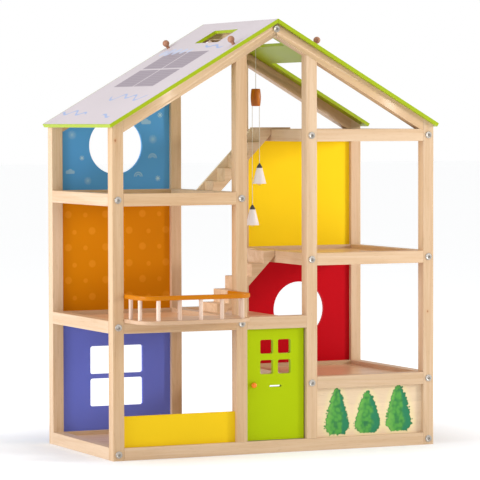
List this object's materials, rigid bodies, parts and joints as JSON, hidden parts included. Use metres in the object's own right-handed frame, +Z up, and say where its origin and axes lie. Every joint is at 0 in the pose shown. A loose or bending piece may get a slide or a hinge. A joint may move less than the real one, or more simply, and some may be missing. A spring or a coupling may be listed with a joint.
{
  "type": "wooden doll's house",
  "caption": "Open split-level wooden doll's house: square-post frame, coloured wall panels, pitched roof, balcony, stairs, hinged door and hanging lamps.",
  "frame": {"origin": "on the floor, in the middle of the outline from the balcony's front to the roof's back", "axes": "+Z up, front of the house faces -Y, +X to the right seen from the front"},
  "size_m": [0.615, 0.387, 0.7349],
  "materials": {
    "frame_wood": "clear-lacquered pale hardwood",
    "floor_ply": "clear-lacquered plywood",
    "blue_paint": "painted plywood, satin",
    "orange_paint": "painted plywood, satin",
    "purple_paint": "painted plywood, satin",
    "yellow_paint": "painted plywood, satin",
    "red_paint": "painted plywood, satin",
    "tree_print": "plywood with printed trees",
    "door_green": "painted plywood, satin",
    "knob_orange": "painted wood ball, gloss",
    "steel_pin": "plain steel pin",
    "roof_green": "painted plywood with a printed white top",
    "peg_wood": "turned beech, clear lacquer",
    "stair_wood": "clear-lacquered hardwood",
    "rail_orange": "painted wood, satin",
    "dowel_wood": "clear-lacquered dowel",
    "bolt_steel": "nickel-plated steel",
    "cord": "pale twisted cord",
    "bead_orange": "stained wooden bead, gloss",
    "cap_grey": "dark grey painted wood",
    "shade_white": "white painted wood",
    "bulb_yellow": "yellow painted wood ball"
  },
  "bodies": {
    "door": {"door_leaf": "door_green", "door_knob": "knob_orange", "door_pins": "steel_pin"},
    "roof_left": {"roof_sheet_left": "roof_green"},
    "roof_right": {"roof_sheet_right": "roof_green"},
    "lower_stair": {"lower_stair": "stair_wood"},
    "upper_stair": {"upper_stair_steps": "stair_wood", "upper_stair_string": "stair_wood", "upper_stair_plate": "stair_wood"},
    "ring": {"hanging_ring": "steel_pin"},
    "pendant": {"lamp_cord": "cord", "cord_bead": "bead_orange"},
    "peg_left_front": {"roof_peg_left_front": "peg_wood"},
    "peg_left_back": {"roof_peg_left_back": "peg_wood"},
    "peg_right_front": {"roof_peg_right_front": "peg_wood"},
    "peg_right_back": {"roof_peg_right_back": "peg_wood"},
    "short_lamp": {"short_strand": "cord", "short_lamp_cap": "cap_grey", "short_lamp_shade": "shade_white", "short_lamp_bulb": "bulb_yellow"},
    "long_lamp": {"long_strand": "cord", "long_lamp_cap": "cap_grey", "long_lamp_shade": "shade_white", "long_lamp_bulb": "bulb_yellow"},
    "house": {"attic_wall_blue": "blue_paint", "back_beams": "frame_wood", "back_left_inner_post": "frame_wood", "back_left_outer_post": "frame_wood", "back_rafters": "frame_wood", "back_right_inner_post": "frame_wood", "back_right_outer_post": "frame_wood", "back_sill": "frame_wood", "balcony_balusters": "dowel_wood", "balcony_deck": "stair_wood", "balcony_handrail": "rail_orange", "bolts": "bolt_steel", "ceiling_eye": "steel_pin", "front_attic_beam_left": "frame_wood", "front_attic_beam_right": "frame_wood", "front_door_head_beam": "frame_wood", "front_left_inner_post": "frame_wood", "front_left_outer_post": "frame_wood", "front_lower_beam_right": "frame_wood", "front_rafters": "frame_wood", "front_right_inner_post": "frame_wood", "front_right_outer_post": "frame_wood", "front_sill": "frame_wood", "front_storey_beam_left": "frame_wood", "front_upper_beam_right": "frame_wood", "front_wall_trees": "tree_print", "ground_floor": "floor_ply", "low_front_wall_yellow": "yellow_paint", "lower_wall_purple": "purple_paint", "lower_wall_red": "red_paint", "raised_floors": "floor_ply", "ridge_beam": "frame_wood", "side_rails": "frame_wood", "upper_wall_orange": "orange_paint", "upper_wall_yellow": "yellow_paint"}
  },
  "joints": [
    {"name": "door_hinge", "type": "hinge", "parent": "house", "child": "door", "pos_m": [0.0509, -0.1025, 0.1], "axis": [0, 0, 1], "range_deg": [0, 90]},
    {"name": "roof_left_lift", "type": "slide", "parent": "house", "child": "roof_left", "axis": [-0.5, 0, 0.866], "range_m": [0, 0.06]},
    {"name": "roof_right_lift", "type": "slide", "parent": "house", "child": "roof_right", "axis": [0.5, 0, 0.866], "range_m": [0, 0.06]},
    {"name": "lower_stair_lift", "type": "slide", "parent": "house", "child": "lower_stair", "axis": [0, 0, 1], "range_m": [0, 0.04]},
    {"name": "upper_stair_lift", "type": "slide", "parent": "house", "child": "upper_stair", "axis": [0, 0, 1], "range_m": [0, 0.04]},
    {"name": "pendant_fore_aft", "type": "hinge", "parent": "house", "child": "ring", "pos_m": [0, -0.0285, 0.69843], "axis": [1, 0, 0], "range_deg": [-25, 8]},
    {"name": "pendant_sideways", "type": "hinge", "parent": "ring", "child": "pendant", "pos_m": [0, -0.0285, 0.69473], "axis": [0, 1, 0], "range_deg": [-6, 6]},
    {"name": "peg_left_front_draw", "type": "slide", "parent": "roof_left", "child": "peg_left_front", "axis": [-0.5, 0, 0.866], "range_m": [0, 0.03]},
    {"name": "peg_left_back_draw", "type": "slide", "parent": "roof_left", "child": "peg_left_back", "axis": [-0.5, 0, 0.866], "range_m": [0, 0.03]},
    {"name": "peg_right_front_draw", "type": "slide", "parent": "roof_right", "child": "peg_right_front", "axis": [0.5, 0, 0.866], "range_m": [0, 0.03]},
    {"name": "peg_right_back_draw", "type": "slide", "parent": "roof_right", "child": "peg_right_back", "axis": [0.5, 0, 0.866], "range_m": [0, 0.03]},
    {"name": "short_lamp_swing", "type": "hinge", "parent": "pendant", "child": "short_lamp", "pos_m": [0.0067, -0.0285, 0.5874], "axis": [1, 0, 0], "range_deg": [-15, 12]},
    {"name": "long_lamp_swing", "type": "hinge", "parent": "pendant", "child": "long_lamp", "pos_m": [-0.0067, -0.0285, 0.5874], "axis": [1, 0, 0], "range_deg": [-15, 12]}
  ]
}
